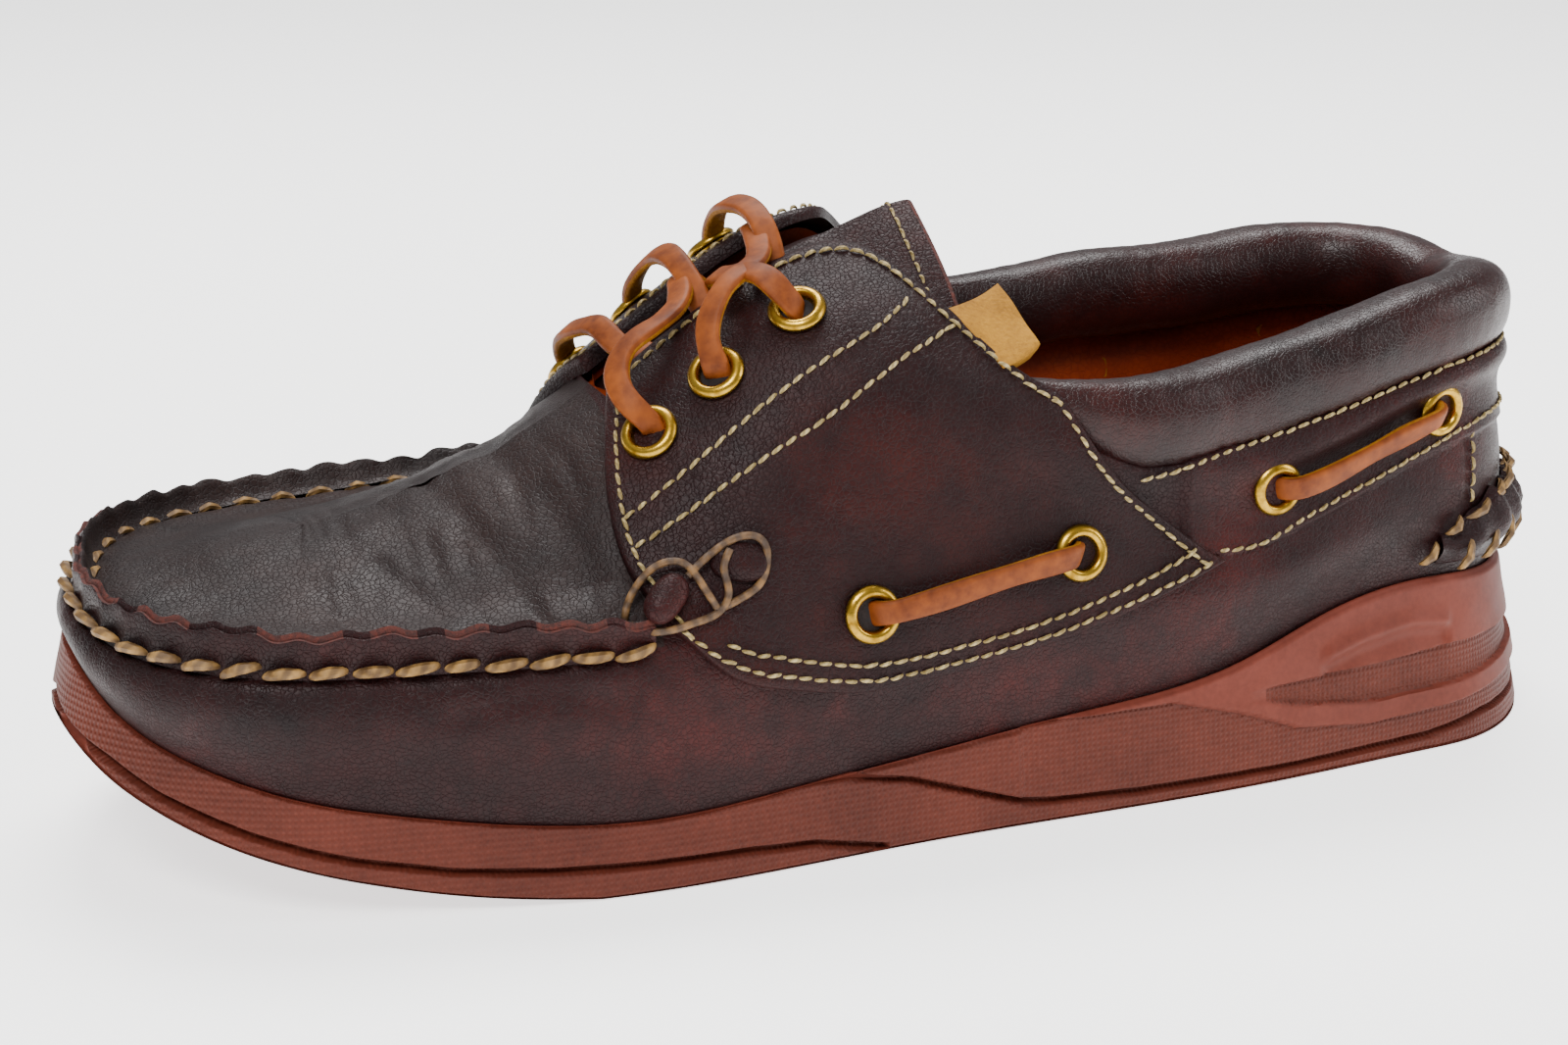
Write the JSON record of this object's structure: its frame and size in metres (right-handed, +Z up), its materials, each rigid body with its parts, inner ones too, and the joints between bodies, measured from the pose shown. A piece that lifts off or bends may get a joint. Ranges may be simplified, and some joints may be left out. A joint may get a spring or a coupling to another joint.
{
  "type": "boat shoe",
  "caption": "Left boat shoe with a moccasin toe seam, padded collar, brass eyelets, rawhide front and side lacing, and a moulded rubber cup sole.",
  "frame": {"origin": "on the floor, in the middle of the sole's outline", "axes": "+Z up, -X towards the toe, +X towards the heel, -Y towards the outer side of the foot"},
  "size_m": [0.2978, 0.1046, 0.1105],
  "materials": {
    "dark_leather": "satin",
    "tan_lining": "satin",
    "undyed_leather": "matte",
    "terracotta_rubber": "matte",
    "brass": "satin",
    "rawhide": "matte"
  },
  "bodies": {
    "root": {"outsole": "terracotta_rubber", "midsole": "terracotta_rubber", "insole": "tan_lining", "upper": "dark_leather", "eyestay_lateral": "dark_leather", "eyestay_medial": "dark_leather", "seam_knot_lateral": "dark_leather", "seam_knot_medial": "dark_leather", "tongue": "dark_leather", "collar_roll": "dark_leather", "heel_kicker": "dark_leather", "side_tab": "undyed_leather", "eyelet_lateral_throat_1": "brass", "eyelet_lateral_throat_2": "brass", "eyelet_lateral_throat_3": "brass", "eyelet_lateral_side_1": "brass", "eyelet_lateral_side_2": "brass", "eyelet_lateral_side_3": "brass", "eyelet_lateral_side_4": "brass", "eyelet_medial_throat_1": "brass", "eyelet_medial_throat_2": "brass", "eyelet_medial_throat_3": "brass", "eyelet_medial_side_1": "brass", "eyelet_medial_side_2": "brass", "eyelet_medial_side_3": "brass", "eyelet_medial_side_4": "brass", "lace_front": "rawhide", "lace_lateral_side_1": "rawhide", "lace_lateral_side_3": "rawhide", "lace_medial_side_1": "rawhide", "lace_medial_side_3": "rawhide"}
  },
  "joints": []
}
